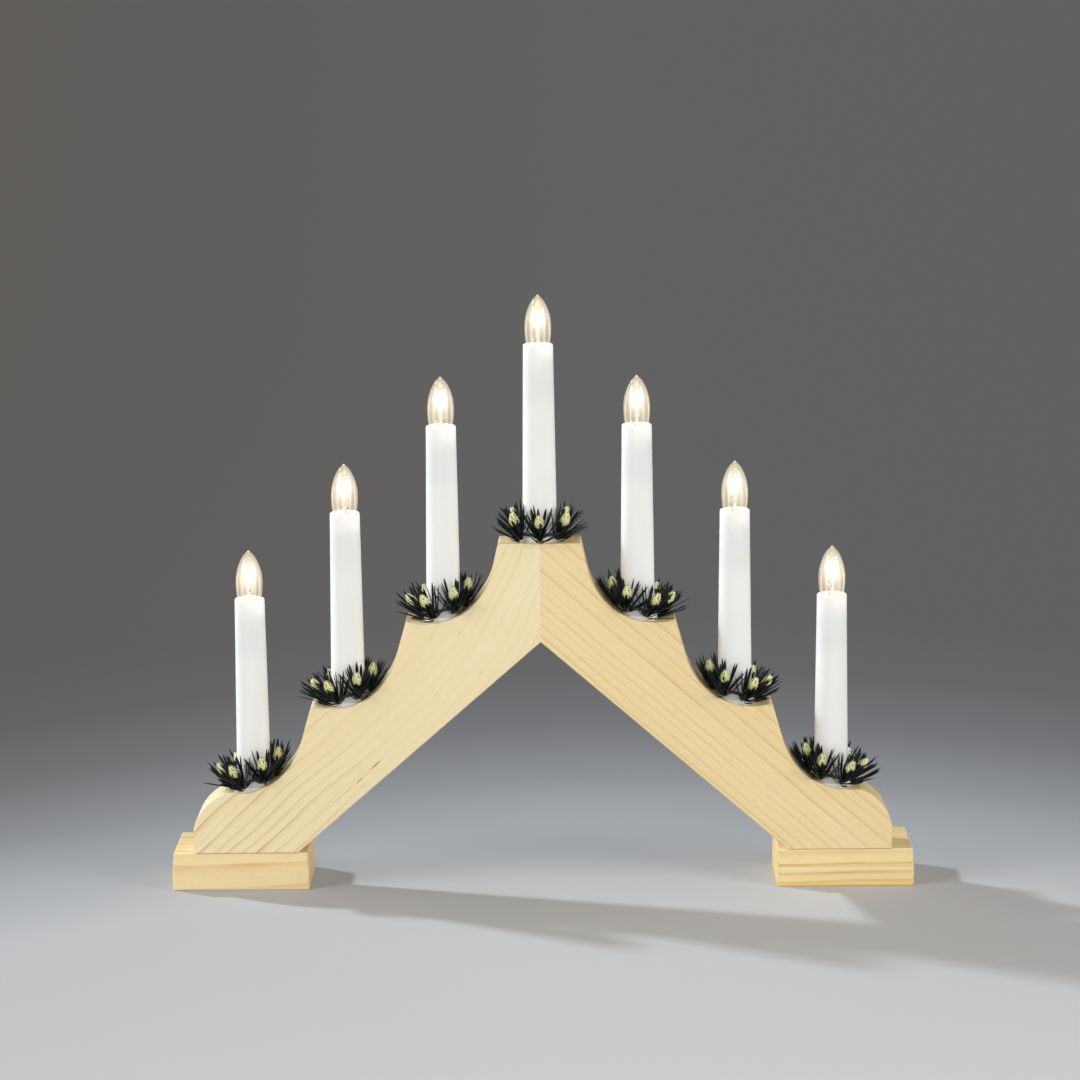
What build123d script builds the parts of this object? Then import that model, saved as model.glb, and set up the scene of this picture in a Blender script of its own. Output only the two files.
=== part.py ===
"""Seven-light candle arch of pale pine: two mitred arms with stepped coves on two feet.

Each cove carries a hollow candle with a small screw bulb, and a needle wreath that lies round
its foot. Millimetres, +Z up, the front towards -Y, X along the arch. The origin is on the floor,
under the middle of the whole arch.
"""

import os
from math import acos, atan2, cos, degrees, radians, sin, sqrt, tan

from build123d import *

os.makedirs("parts", exist_ok=True)

# The arch
candle_pitch = 50.6
candles_each_side = 3
arm_thickness = 24.0
arm_end_reach = 31.5
arm_toe_reach = 23.0
arm_toe_inset = 5.8
under_apex_z = 132.3
top_z = 184.4
top_half_width = 21.3
lowest_cove_z = 52.2
cove_rise = 45.1
cove_radius = 36.0
cove_shift = 9.0
step_overhang = 31.5
step_round = 2.6
top_round = 1.0
end_run = 16.3
end_wall_z = 32.5
end_bulge = 3.4
edge_round = 0.7

# The feet and their screws
foot_length = 72.0
foot_depth = 44.0
foot_height = 20.0
foot_corner_round = 1.6
foot_ridge_height = 10.8
foot_top_inset = 0.7
foot_top_round = 0.6
foot_sole_round = 0.6
screw_length = 36.0
screw_radius = 1.9
screw_head_radius = 3.8
screw_point = 4.0
screw_sunk = 0.6
screw_clearance = 0.05
screw_reach = 8.7
screw_spacing = 14.5

# The candle tubes
tube_height = 102.4
tube_foot_radius = 9.0
tube_top_radius = 7.75
tube_lip_round = 0.9
collar_radius = 10.4
collar_height = 3.0
spigot_radius = 6.0
spigot_length = 12.0
spigot_bore_radius = 4.6
tube_bore_radius = 7.1
holder_bore_radius = 6.65
ledge_bore_radius = 5.2
ledge_height = 2.0
spigot_clearance = 0.1
seat_clearance = 0.4

# The lamp holders and their brass shells
holder_length = 20.0
holder_sunk = 10.5
holder_clearance = 0.1
shell_wall = 0.35
shell_length = 10.5
shell_clearance = 0.05
contact_radius = 1.6
contact_height = 0.8

# The bulbs
cap_radius = 4.75
cap_length = 9.5
cap_wall = 0.3
cap_button_radius = 1.5
cap_button_height = 1.0
cap_clearance = 0.08
contact_gap = 0.3
bulb_rise = 25.4
glass_wall = 0.5
glass_neck_radius = 4.3
glass_neck_length = 3.0
glass_rim_radius = 6.3
glass_widest_radius = 6.95
glass_widest_rise = 9.0
glass_shoulder_radius = 4.5
glass_shoulder_rise = 19.6
glass_nib_radius = 1.0
glass_nib_length = 1.6
stem_foot_radius = 2.6
stem_top_radius = 1.1
stem_rise = 4.6
filament_wire = 0.3
filament_foot_spread = 0.5
filament_spread = 2.1
filament_rise = 12.0
filament_bow = 1.8

# The wreaths
ring_radius = 12.4
ring_wire_radius = 0.9
tufts_in_a_wreath = 6
tuft_lean = 22.0
hub_radius = 1.6
hub_above = 4.2
hub_below = 1.9
ring_clearance = 0.12
hub_sides = 6
needle_length = 13.4
needle_width = 1.2
needle_thickness = 0.7
needle_tip_inset = 0.45
needle_tip_thickness = 0.3
needles_in_a_row = 5
needle_turn_step = 48.0
low_needle_spread = 46.0
low_needle_rise = 1.4
low_needle_first_turn = -104.0
high_needle_spread = 36.0
high_needle_rise = 2.0
high_needle_first_turn = -128.0
bud_length = 6.4
bud_foot_radius = 0.9
bud_belly_radius = 1.8
bud_belly_share = 0.45
bud_tip_radius = 0.35
bud_sides = 6
cove_wreath_tilt = 15.0
cove_wreath_lift = 4.4
top_wreath_lift = 1.55
top_wreath_turn = 30.0

# The wiring
wire_sides = 8
wire_hole_radius = 4.0
groove_width = 8.0
groove_depth = 8.0
wire_radius = 0.8
wire_spread = 1.7
wire_lane = 1.4
wire_bend = 3.0
wire_depth = 4.6
outlet_width = 9.0
outlet_height = 7.0
outlet_gap = 9.8
outlet_lead_spread = 1.8
outlet_lead_length = 5.5

overrun = 5.0

# Places worked out from the sizes
outer_candle_x = candles_each_side * candle_pitch
arm_half_span = outer_candle_x + arm_end_reach
arm_under_half_span = outer_candle_x - arm_toe_reach
foot_half_span = arm_under_half_span - arm_toe_inset + foot_length
hub_reach = low_needle_rise * sin(radians(tuft_lean))
needle_reach = needle_length * sin(radians(tuft_lean + low_needle_spread))
wreath_reach = ring_radius + hub_reach + needle_reach
candle_y = (wreath_reach + arm_thickness / 2 - foot_depth) / 2
front_y = candle_y - arm_thickness / 2
foot_y = front_y + foot_depth / 2
under_slope = degrees(atan2(under_apex_z - foot_height, arm_under_half_span))
candle_numbers = list(range(1, 2 * candles_each_side + 2))
middle_candle = candles_each_side + 1


def cove_centre(step):
    """Centre of a cove's arc on the right arm, where step 1 is the lowest."""
    candle_x = (middle_candle - step) * candle_pitch
    return candle_x + cove_shift, lowest_cove_z + (step - 1) * cove_rise + cove_radius


def cove_height(step, x):
    """Height of the cove's arc at a place along the arch."""
    centre_x, centre_z = cove_centre(step)
    return centre_z - sqrt(cove_radius**2 - (x - centre_x) ** 2)


def seat(number):
    """Place of a candle's collar underside on the wood."""
    x = (number - middle_candle) * candle_pitch
    step = middle_candle - abs(number - middle_candle)
    z = top_z if step == middle_candle else lowest_cove_z + (step - 1) * cove_rise
    return x, candle_y, z


def lifted(number, rise):
    """The seat of a candle, raised by a height along its axis."""
    x, y, z = seat(number)
    return x, y, z + rise


def step_corner(step):
    """Upper end of a cove's wall, which is the outer corner of the next step."""
    if step == candles_each_side:
        return top_half_width, top_z
    x = (middle_candle - step) * candle_pitch - step_overhang
    return x, cove_height(step + 1, x)


def wall_foot(step):
    """Place where a cove's arc runs on into its wall, and its angle round the arc."""
    centre_x, centre_z = cove_centre(step)
    x, z = step_corner(step)
    reach = sqrt((x - centre_x) ** 2 + (z - centre_z) ** 2)
    angle = atan2(z - centre_z, x - centre_x) + acos(cove_radius / reach)
    return centre_x + cove_radius * cos(angle), centre_z + cove_radius * sin(angle), angle


def on_arc(step, angle):
    """Point of a cove's arc at an angle in radians."""
    centre_x, centre_z = cove_centre(step)
    return centre_x + cove_radius * cos(angle), centre_z + cove_radius * sin(angle)


# Outline of one arm, on the right of the mitre
cove_start = (cove_centre(1)[0], lowest_cove_z)
end_top = (arm_half_span - end_run, lowest_cove_z)
end_foot = (arm_half_span, end_wall_z)

with BuildPart() as arm_blank:
    with BuildSketch(Plane.XZ.offset(-front_y)):
        with BuildLine():
            Line((0, under_apex_z), (arm_under_half_span, foot_height))
            Line((arm_under_half_span, foot_height), (arm_half_span, foot_height))
            Line((arm_half_span, foot_height), end_foot)
            SagittaArc(end_top, end_foot, end_bulge)
            Line(end_top, cove_start)
            lip = cove_start
            for step in range(1, candles_each_side + 1):
                foot_x, foot_z, foot_angle = wall_foot(step)
                centre_x, centre_z = cove_centre(step)
                lip_angle = atan2(lip[1] - centre_z, lip[0] - centre_x) % radians(360)
                middle = on_arc(step, (lip_angle + foot_angle) / 2)
                ThreePointArc(lip, middle, (foot_x, foot_z))
                Line((foot_x, foot_z), step_corner(step))
                lip = step_corner(step)
            Line(lip, (0, top_z))
            Line((0, top_z), (0, under_apex_z))
        outline = make_face()
        for step in range(1, candles_each_side):
            fillet(outline.vertices().sort_by_distance(step_corner(step))[0], step_round)
    extrude(amount=-arm_thickness)
    top_corner = (top_half_width, candle_y, top_z)
    fillet(arm_blank.edges().filter_by(Axis.Y).sort_by_distance(top_corner)[0], top_round)
    faces = arm_blank.faces().filter_by(Axis.Y)
    fillet([e for e in faces.edges() if e.center().X > edge_round], edge_round)


def under_x(height, drop):
    """Place where a line at a drop above the underside is at a height."""
    return (under_apex_z + drop - height) / tan(radians(under_slope))


def groove_outline():
    """Side view of the groove, from the mitre to the lowest candle."""
    drop = groove_depth / cos(radians(under_slope))
    knee_x = under_x(foot_height + groove_depth, drop)
    return (
        (-overrun, under_apex_z + drop + overrun * tan(radians(under_slope))),
        (knee_x, foot_height + groove_depth),
        (outer_candle_x, foot_height + groove_depth),
        (outer_candle_x, foot_height - overrun),
        (arm_under_half_span - overrun, foot_height - overrun),
        (-overrun, under_apex_z - overrun),
    )


def screw_places():
    """Places of the screws of the right foot."""
    inner = outer_candle_x + screw_reach
    return (inner, candle_y), (inner + screw_spacing, candle_y)


with BuildPart() as right_arm:
    add(arm_blank.part)
    for number in candle_numbers[middle_candle - 1 :]:
        seat_plane = Plane(seat(number))
        with BuildSketch(seat_plane):
            Circle(collar_radius + seat_clearance)
        extrude(amount=cove_radius, mode=Mode.SUBTRACT)
        with BuildSketch(seat_plane):
            Circle(spigot_radius + spigot_clearance)
        extrude(amount=-spigot_length - seat_clearance, mode=Mode.SUBTRACT)
        with BuildSketch(seat_plane):
            Circle(wire_hole_radius)
        extrude(amount=-top_z, mode=Mode.SUBTRACT)
    with BuildSketch(Plane.XZ.offset(-candle_y)):
        with BuildLine():
            Polyline(*groove_outline(), close=True)
        make_face()
    extrude(amount=groove_width / 2, both=True, mode=Mode.SUBTRACT)
    with BuildSketch(Plane.XY.offset(foot_height)):
        with Locations(*screw_places()):
            Circle(screw_radius + screw_clearance)
    pilot_depth = screw_sunk + screw_length - foot_height + screw_clearance
    extrude(amount=pilot_depth, mode=Mode.SUBTRACT)
right_arm.part.label = "right_arm"
export_step(right_arm.part, "parts/right_arm.step")

outlet_x = -arm_under_half_span - outlet_gap

with BuildPart() as left_arm:
    mirror(right_arm.part, about=Plane.YZ)
    with BuildSketch(Plane.XZ.offset(-candle_y)):
        with Locations((outlet_x, foot_height + outlet_height / 2)):
            Rectangle(outlet_width, outlet_height)
    extrude(amount=-arm_thickness, mode=Mode.SUBTRACT)
left_arm.part.label = "left_arm"
export_step(left_arm.part, "parts/left_arm.step")

# Feet with countersunk screw holes
screw_head_height = screw_head_radius - screw_radius

with BuildPart() as screw_hole_form:
    with BuildSketch(Plane.XZ):
        with BuildLine():
            Polyline(
                (0, -overrun),
                (screw_head_radius + screw_clearance, -overrun),
                (screw_head_radius + screw_clearance, 0),
                (screw_radius + screw_clearance, screw_head_height),
                (screw_radius + screw_clearance, foot_height + overrun),
                (0, foot_height + overrun),
                close=True,
            )
        make_face()
    revolve(axis=Axis.Z)

bevel_height = foot_height - foot_ridge_height
bevel_angle = degrees(atan2(foot_top_inset, bevel_height))

with BuildPart() as right_foot:
    with BuildSketch() as foot_outline:
        with Locations((foot_half_span - foot_length / 2, foot_y)):
            RectangleRounded(foot_length, foot_depth, foot_corner_round)
    extrude(amount=foot_ridge_height)
    with BuildSketch(Plane.XY.offset(foot_ridge_height)):
        add(foot_outline.sketch)
    extrude(amount=bevel_height, taper=bevel_angle)
    fillet(right_foot.faces().sort_by(Axis.Z)[-1].edges(), foot_top_round)
    fillet(right_foot.faces().sort_by(Axis.Z)[0].edges(), foot_sole_round)
    with Locations(*[(x, y, screw_sunk) for x, y in screw_places()]):
        add(screw_hole_form.part, mode=Mode.SUBTRACT)
right_foot.part.label = "right_foot"
export_step(right_foot.part, "parts/right_foot.step")

with BuildPart() as left_foot:
    mirror(right_foot.part, about=Plane.YZ)
left_foot.part.label = "left_foot"
export_step(left_foot.part, "parts/left_foot.step")

with BuildPart() as screw_form:
    with BuildSketch(Plane.XZ):
        with BuildLine():
            Polyline(
                (0, 0),
                (screw_head_radius, 0),
                (screw_radius, screw_head_height),
                (screw_radius, screw_length - screw_point),
                (0, screw_length),
                close=True,
            )
        make_face()
    revolve(axis=Axis.Z)

with BuildPart() as foot_screws:
    for x, y in screw_places():
        with Locations((x, y, screw_sunk), (-x, y, screw_sunk)):
            add(screw_form.part)
foot_screws.part.label = "foot_screws"
export_step(foot_screws.part, "parts/foot_screws.step")

# Candle tubes, with the collar's underside at the origin
holder_foot_z = tube_height - holder_sunk - holder_length
ledge_foot_z = holder_foot_z - ledge_height

with BuildPart() as tube_form:
    with BuildSketch(Plane.XZ):
        with BuildLine():
            Polyline(
                (0, -spigot_length),
                (spigot_radius, -spigot_length),
                (spigot_radius, 0),
                (collar_radius, 0),
                (collar_radius, collar_height),
                (tube_foot_radius, collar_height),
                (tube_top_radius, tube_height),
                (0, tube_height),
                close=True,
            )
        make_face()
    revolve(axis=Axis.Z)
    fillet(tube_form.edges().group_by(Axis.Z)[-1], tube_lip_round)
    with BuildSketch(Plane.XZ):
        with BuildLine():
            Polyline(
                (0, -spigot_length - overrun),
                (spigot_bore_radius, -spigot_length - overrun),
                (spigot_bore_radius, 0),
                (tube_bore_radius, collar_height),
                (tube_bore_radius - ledge_height / 2, ledge_foot_z - ledge_height),
                (ledge_bore_radius, ledge_foot_z),
                (ledge_bore_radius, holder_foot_z),
                (holder_bore_radius, holder_foot_z),
                (holder_bore_radius, tube_height + overrun),
                (0, tube_height + overrun),
                close=True,
            )
        make_face()
    revolve(axis=Axis.Z, mode=Mode.SUBTRACT)

# Lamp holders, with their underside on the tube's ledge
shell_radius = cap_radius + cap_clearance + shell_wall
shell_foot = holder_length - shell_length

with BuildPart() as holder_form:
    with BuildSketch():
        Circle(holder_bore_radius - holder_clearance)
    extrude(amount=holder_length)
    with BuildSketch(Plane.XY.offset(shell_foot)):
        Circle(shell_radius + shell_clearance)
    extrude(amount=holder_length, mode=Mode.SUBTRACT)
    with BuildSketch(Plane.XY.offset(shell_foot - contact_height)):
        Circle(contact_radius + shell_clearance)
    extrude(amount=holder_length, mode=Mode.SUBTRACT)

with BuildPart() as shell_form:
    with BuildSketch(Plane.XY.offset(shell_foot)):
        Circle(shell_radius)
        Circle(cap_radius + cap_clearance, mode=Mode.SUBTRACT)
    extrude(amount=shell_length)

with BuildPart() as contact_form:
    with BuildSketch(Plane.XY.offset(shell_foot - contact_height)):
        Circle(contact_radius)
    extrude(amount=contact_height)

holder_places = [lifted(number, holder_foot_z) for number in candle_numbers]

with BuildPart() as lamp_holders:
    with Locations(*holder_places):
        add(holder_form.part)
lamp_holders.part.label = "lamp_holders"
export_step(lamp_holders.part, "parts/lamp_holders.step")

with BuildPart() as socket_shells:
    with Locations(*holder_places):
        add(shell_form.part)
        add(contact_form.part)
socket_shells.part.label = "socket_shells"
export_step(socket_shells.part, "parts/socket_shells.step")

# Bulbs, with the tube's rim at the origin
button_foot = -holder_sunk - shell_length + contact_gap
cap_foot = button_foot + cap_button_height
cap_top = cap_foot + cap_length

with BuildPart() as cap_form:
    with BuildSketch(Plane.XY.offset(cap_foot)):
        Circle(cap_radius)
    extrude(amount=cap_length)
    with BuildSketch(Plane.XY.offset(cap_foot + cap_wall)):
        Circle(cap_radius - cap_wall)
    extrude(amount=cap_length, mode=Mode.SUBTRACT)
    with BuildSketch(Plane.XY.offset(button_foot)):
        Circle(cap_button_radius)
    extrude(amount=cap_button_height)

with BuildPart() as glass_form:
    with BuildSketch(Plane.XZ):
        with BuildLine():
            Line((stem_foot_radius, cap_top - glass_neck_length),
                 (glass_neck_radius, cap_top - glass_neck_length))
            Line((glass_neck_radius, cap_top - glass_neck_length), (glass_neck_radius, cap_top))
            Spline(
                (glass_neck_radius, cap_top),
                (glass_rim_radius, 0),
                (glass_widest_radius, glass_widest_rise),
                (glass_shoulder_radius, glass_shoulder_rise),
                (glass_nib_radius, bulb_rise - glass_nib_length),
            )
            Line((glass_nib_radius, bulb_rise - glass_nib_length), (0, bulb_rise))
            Line((0, bulb_rise), (0, bulb_rise - glass_nib_length - glass_wall))
            Spline(
                (0, bulb_rise - glass_nib_length - glass_wall),
                (glass_shoulder_radius - glass_wall, glass_shoulder_rise - glass_wall),
                (glass_widest_radius - glass_wall, glass_widest_rise),
                (glass_rim_radius - glass_wall, 0),
                (glass_neck_radius - glass_wall, cap_top),
            )
            Line((glass_neck_radius - glass_wall, cap_top), (stem_foot_radius, cap_top))
            Line((stem_foot_radius, cap_top), (stem_top_radius, stem_rise))
            Line((stem_top_radius, stem_rise), (0, stem_rise))
            Line((0, stem_rise), (0, cap_top))
            Line((0, cap_top), (stem_foot_radius, cap_top - glass_neck_length))
        make_face()
    revolve(axis=Axis.Z)

with BuildPart() as filament_form:
    with BuildLine(Plane.XZ) as filament_path:
        left_leg = Line((-filament_foot_spread, stem_rise), (-filament_spread, filament_rise))
        ThreePointArc(left_leg @ 1, (0, filament_rise + filament_bow),
                      (filament_spread, filament_rise))
        Line((filament_spread, filament_rise), (filament_foot_spread, stem_rise))
    with BuildSketch(Plane(filament_path.line @ 0, z_dir=filament_path.line % 0)):
        RegularPolygon(filament_wire, wire_sides)
    sweep(transition=Transition.ROUND)

# Tuft of needles, with the ring's wire through the origin and X away from the candle
def tuft_frame():
    """Outward and upward directions of a tuft, square to each other."""
    lean = radians(tuft_lean)
    return Vector(sin(lean), 0, cos(lean)), Vector(cos(lean), 0, -sin(lean))


def needle_row(spread, rise, first_turn):
    """Places of a row of needles round the hub, each with Y along its needle."""
    up, out = tuft_frame()
    places = []
    for i in range(needles_in_a_row):
        turn = radians(first_turn + i * needle_turn_step)
        side = out * cos(turn) + Vector(0, 1, 0) * sin(turn)
        along = up * cos(radians(spread)) + side * sin(radians(spread))
        flat = side.cross(up)
        places.append(Location(Plane(up * rise, x_dir=flat, z_dir=flat.cross(along))))
    return places


tuft_plane = Plane((0, 0, 0), x_dir=(0, 1, 0), z_dir=tuft_frame()[0])
low_row = needle_row(low_needle_spread, low_needle_rise, low_needle_first_turn)
high_row = needle_row(high_needle_spread, high_needle_rise, high_needle_first_turn)

with BuildPart() as tuft_form:
    with BuildSketch(tuft_plane.offset(-hub_below)):
        RegularPolygon(hub_radius, hub_sides)
    extrude(amount=hub_below + hub_above)
    with Locations(*low_row, *high_row):
        Wedge(
            needle_width,
            needle_length,
            needle_thickness,
            needle_tip_inset,
            needle_thickness / 2 - needle_tip_thickness / 2,
            needle_width - needle_tip_inset,
            needle_thickness / 2 + needle_tip_thickness / 2,
            align=(Align.CENTER, Align.MIN, Align.CENTER),
        )
    with BuildSketch(Plane.XZ):
        RegularPolygon(ring_wire_radius + ring_clearance, wire_sides, major_radius=False)
    extrude(amount=needle_length, both=True, mode=Mode.SUBTRACT)

with BuildPart() as bud_form:
    bud_sections = (
        (0, bud_foot_radius),
        (bud_length * bud_belly_share, bud_belly_radius),
        (bud_length, bud_tip_radius),
    )
    for rise, radius in bud_sections:
        with BuildSketch(tuft_plane.offset(hub_above + rise)):
            RegularPolygon(radius, bud_sides)
    loft(ruled=True)

# Ring of wire that carries the tufts of one wreath
with BuildPart() as ring_form:
    with BuildSketch(Plane.XZ):
        with Locations((ring_radius, 0)):
            RegularPolygon(ring_wire_radius, wire_sides)
    revolve(axis=Axis.Z)


def wreath_place(number):
    """Place of a wreath, which leans on the wall of its cove or lies flat on the top."""
    side = (number > middle_candle) - (number < middle_candle)
    if side == 0:
        return Location(lifted(number, collar_height + top_wreath_lift), (0, 0, top_wreath_turn))
    return Location(lifted(number, collar_height + cove_wreath_lift), (0, side * cove_wreath_tilt, 0))


def tuft_places(number):
    """Places of the tufts round one wreath."""
    turn = 360 / tufts_in_a_wreath
    round_ring = [Location((0, 0, 0), (0, 0, i * turn)) for i in range(tufts_in_a_wreath)]
    return [wreath_place(number) * spoke * Location((ring_radius, 0, 0)) for spoke in round_ring]


# The pieces that stand or hang at each candle
for number in candle_numbers:
    with BuildPart() as candle_tube:
        with Locations(seat(number)):
            add(tube_form.part)
    candle_tube.part.label = f"candle_tube_{number}"
    export_step(candle_tube.part, f"parts/candle_tube_{number}.step")

    with BuildPart() as bulb_cap:
        with Locations(lifted(number, tube_height)):
            add(cap_form.part)
    bulb_cap.part.label = f"bulb_cap_{number}"
    export_step(bulb_cap.part, f"parts/bulb_cap_{number}.step")

    with BuildPart() as bulb_glass:
        with Locations(lifted(number, tube_height)):
            add(glass_form.part)
    bulb_glass.part.label = f"bulb_glass_{number}"
    export_step(bulb_glass.part, f"parts/bulb_glass_{number}.step")

    with BuildPart() as bulb_filament:
        with Locations(lifted(number, tube_height)):
            add(filament_form.part)
    bulb_filament.part.label = f"bulb_filament_{number}"
    export_step(bulb_filament.part, f"parts/bulb_filament_{number}.step")

    with BuildPart() as wreath_ring:
        with Locations(wreath_place(number)):
            add(ring_form.part)
    wreath_ring.part.label = f"wreath_ring_{number}"
    export_step(wreath_ring.part, f"parts/wreath_ring_{number}.step")

    with BuildPart() as wreath_tufts:
        with Locations(*tuft_places(number)):
            add(tuft_form.part)
    wreath_tufts.part.label = f"wreath_tufts_{number}"
    export_step(wreath_tufts.part, f"parts/wreath_tufts_{number}.step")

    with BuildPart() as wreath_buds:
        with Locations(*tuft_places(number)):
            add(bud_form.part)
    wreath_buds.part.label = f"wreath_buds_{number}"
    export_step(wreath_buds.part, f"parts/wreath_buds_{number}.step")


# Wires from holder to holder, down the tubes and along the groove
wire_drop = wire_depth / cos(radians(under_slope))
wire_floor = foot_height + wire_depth
wire_knee = under_x(wire_floor, wire_drop)


def wire_height(x):
    """Height of the wires in the groove at a place along the arch."""
    return max(wire_floor, under_apex_z + wire_drop - abs(x) * tan(radians(under_slope)))


def groove_run(start_x, end_x, y):
    """Points of a wire in the groove, with its bends at the knees and under the mitre."""
    low, high = sorted((start_x, end_x))
    bends = [x for x in (-wire_knee, 0, wire_knee) if low < x < high]
    if start_x > end_x:
        bends.reverse()
    return [(x, y, wire_height(x)) for x in (start_x, *bends, end_x)]


def link_route(number):
    """Route of the wire from one holder to the next, in the front lane."""
    y = candle_y - wire_lane
    start_x, _, start_z = lifted(number, holder_foot_z)
    end_x, _, end_z = lifted(number + 1, holder_foot_z)
    start_x += wire_spread
    end_x -= wire_spread
    return [(start_x, y, start_z), *groove_run(start_x, end_x, y), (end_x, y, end_z)]


def supply_route(number, spread, outlet_spread):
    """Route of a supply wire in the back lane, from an outer holder to the outlet."""
    y = candle_y + wire_lane
    x, _, z = lifted(number, holder_foot_z)
    x += spread
    outlet = outlet_x + outlet_spread
    lead_end = (outlet, y + outlet_lead_length, wire_height(outlet))
    return [(x, y, z), *groove_run(x, outlet, y), lead_end]


feed = supply_route(candle_numbers[0], -wire_spread, -outlet_lead_spread)
back = supply_route(candle_numbers[-1], wire_spread, outlet_lead_spread)
routes = [link_route(number) for number in candle_numbers[:-1]] + [feed, back]

with BuildPart() as wiring:
    for route in routes:
        with BuildLine() as wire_path:
            FilletPolyline(*route, radius=wire_bend)
        with BuildSketch(Plane(route[0], z_dir=(0, 0, -1))):
            RegularPolygon(wire_radius, wire_sides)
        sweep(path=wire_path.line)
wiring.part.label = "wiring"
export_step(wiring.part, "parts/wiring.step")
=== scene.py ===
"""Looks of the seven-light candle arch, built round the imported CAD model."""

import random
from math import cos, exp, pi, radians, sin, sqrt

import bpy
from mathutils import Matrix, Vector
from mathutils.bvhtree import BVHTree


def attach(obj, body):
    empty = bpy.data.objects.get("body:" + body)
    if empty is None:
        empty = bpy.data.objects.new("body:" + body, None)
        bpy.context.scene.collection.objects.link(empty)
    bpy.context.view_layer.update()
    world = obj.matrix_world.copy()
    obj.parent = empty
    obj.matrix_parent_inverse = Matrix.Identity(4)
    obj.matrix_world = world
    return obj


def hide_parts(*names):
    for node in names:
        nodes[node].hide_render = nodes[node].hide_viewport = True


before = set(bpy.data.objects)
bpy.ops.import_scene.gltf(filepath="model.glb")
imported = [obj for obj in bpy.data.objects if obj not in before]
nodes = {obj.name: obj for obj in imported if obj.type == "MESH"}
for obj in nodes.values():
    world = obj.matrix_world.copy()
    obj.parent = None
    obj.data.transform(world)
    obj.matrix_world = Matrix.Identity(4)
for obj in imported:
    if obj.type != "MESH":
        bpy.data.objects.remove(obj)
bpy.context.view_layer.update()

MM = 0.001

# Sizes and places that the CAD model also has, in millimetres and degrees
CANDLES = range(1, 8)
MIDDLE = 4
PITCH = 50.6
CANDLE_Y = -3.326
SEAT_Z = {1: 52.2, 2: 97.3, 3: 142.4, 4: 184.4, 5: 142.4, 6: 97.3, 7: 52.2}
TUBE_HEIGHT = 102.4
COLLAR_HEIGHT = 3.0
RING_RADIUS = 12.4
RING_WIRE = 0.9
TUFTS = 6
TUFT_LEAN = 22.0
COVE_TILT, COVE_LIFT = 15.0, 4.4
TOP_TURN, TOP_LIFT = 30.0, 1.55


def seat(number, rise=0.0):
    """Place on a candle's axis, at a height above its seat."""
    return Vector(((number - MIDDLE) * PITCH, CANDLE_Y, SEAT_Z[number] + rise))


def clamp(value):
    """A value kept between 0 and 1."""
    return max(0.0, min(1.0, value))


# Meshes


class Form:
    """Points and faces of one piece, in millimetres, with a shade number for each point."""

    def __init__(self):
        self.points, self.faces, self.shades = [], [], []

    def skin(self, rows, shades=None, loop=True, ends=False):
        """Joins rows of points into a skin, closed round each row, with flat ends if wanted."""
        first, width = len(self.points), len(rows[0])
        for i, row in enumerate(rows):
            self.points += [Vector(p) for p in row]
            shade = shades[i] if shades else 0.0
            self.shades += shade if isinstance(shade, list) else [shade] * width
        for i in range(len(rows) - 1):
            for j in range(width if loop else width - 1):
                a, b = first + i * width + j, first + i * width + (j + 1) % width
                self.faces.append((a, b, b + width, a + width))
        if ends:
            self.faces.append(tuple(range(first + width - 1, first - 1, -1)))
            last = first + (len(rows) - 1) * width
            self.faces.append(tuple(range(last, last + width)))

    def lathe(self, profile, sides, change=None, shades=None, ends=False):
        """Turns a profile of (radius, height) round Z. change(angle, radius, height) gives a new radius."""
        rows = []
        for radius, height in profile:
            row = []
            for j in range(sides):
                angle = 2 * pi * j / sides
                r = change(angle, radius, height) if change else radius
                row.append((r * cos(angle), r * sin(angle), height))
            rows.append(row)
        self.skin(rows, shades, ends=ends)

    def tube(self, path, radii, sides, shades=None):
        """Round skin that follows a path, with its ends closed."""
        rows = []
        for i, point in enumerate(path):
            along = (path[min(i + 1, len(path) - 1)] - path[max(i - 1, 0)]).normalized()
            side = along.orthogonal() if i == 0 else side - along * side.dot(along)
            side.normalize()
            up = along.cross(side)
            turns = [2 * pi * j / sides for j in range(sides)]
            rows.append([point + (side * cos(t) + up * sin(t)) * radii[i] for t in turns])
        self.skin(rows, shades, ends=True)

    def moved(self, matrix):
        """A copy of this form, moved."""
        other = Form()
        other.points = [matrix @ p for p in self.points]
        other.faces, other.shades = list(self.faces), list(self.shades)
        return other

    def join(self, other):
        """Adds another form's points and faces."""
        first = len(self.points)
        self.points += other.points
        self.shades += other.shades
        self.faces += [tuple(i + first for i in face) for face in other.faces]

    def build(self, name):
        """The form as a smooth object, in metres."""
        mesh = bpy.data.meshes.new(name)
        mesh.from_pydata([p * MM for p in self.points], [], self.faces)
        shade = mesh.attributes.new("shade", "FLOAT", "POINT")
        shade.data.foreach_set("value", self.shades)
        mesh.shade_smooth()
        piece = bpy.data.objects.new(name, mesh)
        bpy.context.scene.collection.objects.link(piece)
        return piece


def dress(piece, finish, body, node):
    """Gives a piece its material and its body, and lets it stand for a CAD node."""
    piece.data.materials.append(finish)
    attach(piece, body)
    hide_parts(node)


# Helpers for materials

# Sockets of a node that mixes colours: its factor, its two colours, and its result
MIX_INPUTS, MIX_RESULT = (0, 6, 7), 2


def tone(red, green, blue):
    """A colour given as it looks on a screen, from 0 to 255, as linear light."""
    parts = [v / 255 for v in (red, green, blue)]
    return (*[v / 12.92 if v <= 0.04045 else ((v + 0.055) / 1.055) ** 2.4 for v in parts], 1.0)


def material(name, values):
    """A new material and its shader, with plain values on the shader's sockets."""
    made = bpy.data.materials.new(name)
    made.use_nodes = True
    shader = made.node_tree.nodes["Principled BSDF"]
    for socket, value in values.items():
        shader.inputs[socket].default_value = value
    return made, shader


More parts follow.
